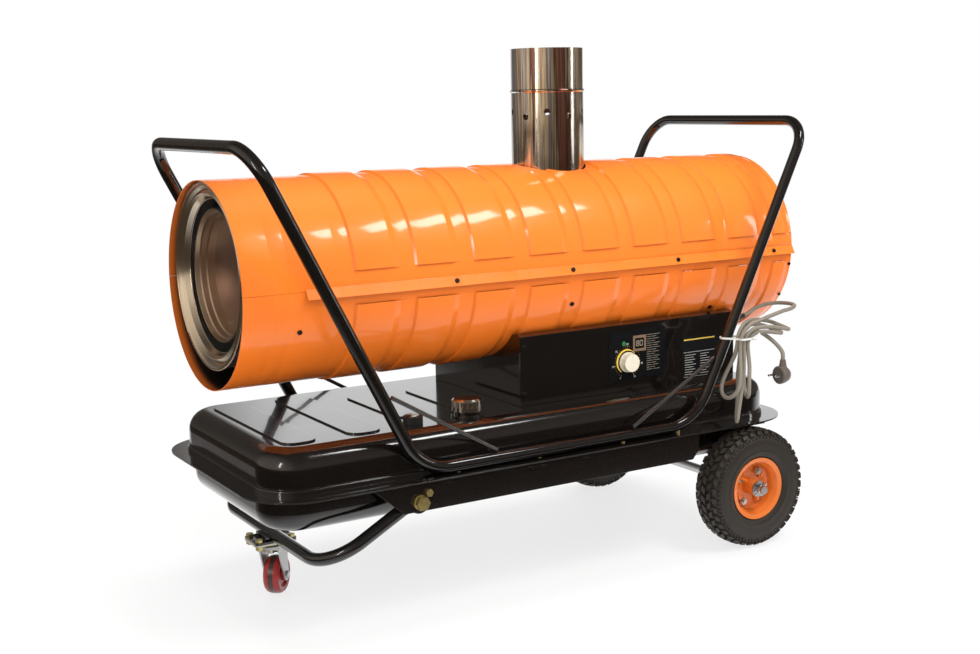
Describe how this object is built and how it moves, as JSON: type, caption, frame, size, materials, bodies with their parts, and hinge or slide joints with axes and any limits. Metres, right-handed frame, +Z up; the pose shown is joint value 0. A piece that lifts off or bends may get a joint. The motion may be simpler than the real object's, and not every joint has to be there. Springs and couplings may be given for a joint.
{
  "type": "indirect oil-fired space heater",
  "caption": "Wheeled indirect-fired heater: swaged orange barrel with flue and fan over a pressed black fuel tank, tube handles, control box, pneumatic wheels and a braked castor",
  "frame": {"origin": "on the floor under the middle of the heater's footprint, the cord left out", "axes": "+X towards the fan end, so -X is the way the warm air leaves; +Y away from the control panel side; +Z up"},
  "size_m": [1.2855, 0.671, 1.048],
  "materials": {
    "casing_paint": "gloss orange powder coat",
    "stainless": "spun stainless sheet, slightly straw coloured",
    "galvanised": "galvanised sheet",
    "heat_steel": "heat-stained steel",
    "heat_front": "heat-tinted pressed steel",
    "flue_steel": "bright stainless sheet",
    "burner_cast": "cast burner head",
    "nozzle_brass": "turned brass",
    "pump_aluminium": "die-cast pump body",
    "copper": "copper pipe",
    "motor_paint": "dark grey enamel",
    "bracket_paint": "dark grey paint",
    "bright_steel": "bright turned steel",
    "fan_plastic": "black fan wheel",
    "guard_paint": "black wire coating",
    "screw_black": "blackened screws",
    "black_paint": "gloss black paint",
    "panel_film": "printed black overlay",
    "plate_film": "bare dark plate",
    "thermostat_plastic": "moulded thermostat body",
    "knob_plastic": "cream knob",
    "display_plastic": "display frame",
    "lamp_plastic": "green lamp",
    "gland_plastic": "black nylon",
    "cord_rubber": "grey-beige cord sheath",
    "tie_plastic": "white nylon strap",
    "cap_metal": "plated cap",
    "gauge_glass": "clear gauge window",
    "pointer_paint": "red pointer",
    "float_brass": "brass rod and float",
    "zinc_bolt": "yellow zinc plating",
    "tube_paint": "gloss black powder coat",
    "zinc_plate": "zinc-plated pressed steel",
    "fork_paint": "light grey zinc paint",
    "castor_tyre": "red castor wheel with a dark band",
    "pedal_plastic": "black brake pedal",
    "tyre_rubber": "black block-tread tyre"
  },
  "bodies": {
    "chassis": {"upper_casing": "casing_paint", "lower_casing": "casing_paint", "outlet_ring": "stainless", "heat_shield": "galvanised", "exchanger_drum": "heat_steel", "exchanger_front": "heat_front", "combustion_chamber": "heat_steel", "flue_pipe": "flue_steel", "burner_head": "burner_cast", "fuel_nozzle": "nozzle_brass", "fuel_pump": "pump_aluminium", "fuel_pipes": "copper", "fan_motor": "motor_paint", "motor_bracket": "bracket_paint", "fan_guard": "guard_paint", "casing_screws": "screw_black", "control_box": "black_paint", "control_cover": "black_paint", "panel_plate": "panel_film", "rating_plate": "plate_film", "thermostat_body": "thermostat_plastic", "display_module": "display_plastic", "power_lamp": "lamp_plastic", "ignition_transformer": "motor_paint", "cord_gland": "gland_plastic", "power_cord": "cord_rubber", "cord_hank": "cord_rubber", "power_plug": "cord_rubber", "cable_tie": "tie_plastic", "tank_upper": "black_paint", "tank_lower": "black_paint", "filler_neck": "black_paint", "gauge_body": "gland_plastic", "gauge_lens": "gauge_glass", "drain_plug": "zinc_bolt", "left_rail": "black_paint", "right_rail": "black_paint", "front_handle": "tube_paint", "rear_handle": "tube_paint", "handle_braces": "tube_paint", "frame_bolts": "zinc_bolt", "castor_carrier": "tube_paint", "castor_plate": "zinc_plate", "castor_bolts": "zinc_bolt", "axle": "bright_steel", "axle_hangers": "black_paint", "axle_washers": "bright_steel"},
    "left_wheel": {"left_tyre": "tyre_rubber", "left_rim": "casing_paint"},
    "right_wheel": {"right_tyre": "tyre_rubber", "right_rim": "casing_paint"},
    "castor_swivel": {"castor_fork": "fork_paint"},
    "castor_roller": {"castor_wheel": "castor_tyre"},
    "castor_brake": {"brake_pedal": "pedal_plastic"},
    "thermostat_dial": {"thermostat_knob": "knob_plastic"},
    "tank_cap": {"fuel_cap": "cap_metal"},
    "fan_rotor": {"fan": "fan_plastic", "motor_shaft": "bright_steel"},
    "float": {"float_arm": "float_brass"},
    "gauge_needle": {"gauge_pointer": "pointer_paint"}
  },
  "joints": [
    {"name": "left_wheel_spin", "type": "hinge", "parent": "chassis", "child": "left_wheel", "pos_m": [0.456, -0.274, 0.127], "axis": [0, 1, 0], "continuous": true},
    {"name": "right_wheel_spin", "type": "hinge", "parent": "chassis", "child": "right_wheel", "pos_m": [0.456, 0.274, 0.127], "axis": [0, 1, 0], "continuous": true},
    {"name": "castor_turn", "type": "hinge", "parent": "chassis", "child": "castor_swivel", "pos_m": [-0.519, 0, 0.104], "axis": [0, 0, 1], "continuous": true},
    {"name": "castor_spin", "type": "hinge", "parent": "castor_swivel", "child": "castor_roller", "pos_m": [-0.50263, 0.01755, 0.0375], "axis": [-0.7314, 0.682, 0], "continuous": true},
    {"name": "brake_press", "type": "hinge", "parent": "castor_swivel", "child": "castor_brake", "pos_m": [-0.49649, 0.02413, 0.084], "axis": [-0.7314, 0.682, 0], "range_deg": [0, 12], "stiffness_Nm_per_rad": 0.8},
    {"name": "thermostat_turn", "type": "hinge", "parent": "chassis", "child": "thermostat_dial", "pos_m": [0.211, -0.172, 0.407], "axis": [0, -1, 0], "range_deg": [-150, 150]},
    {"name": "cap_lift", "type": "slide", "parent": "chassis", "child": "tank_cap", "axis": [0, 0, 1], "range_m": [0, 0.06]},
    {"name": "fan_spin", "type": "hinge", "parent": "chassis", "child": "fan_rotor", "pos_m": [0.598, 0, 0.618], "axis": [1, 0, 0], "continuous": true},
    {"name": "float_swing", "type": "hinge", "parent": "chassis", "child": "float", "pos_m": [-0.29, -0.168, 0.322], "axis": [0, 1, 0], "range_deg": [-40, 20]},
    {"name": "needle_turn", "type": "hinge", "parent": "chassis", "child": "gauge_needle", "pos_m": [-0.29, -0.168, 0.35], "axis": [0, 0, 1], "range_deg": [-150, 80]}
  ],
  "couplings": [
    {"joint": "needle_turn", "follows": "float_swing", "ratio": 3}
  ]
}
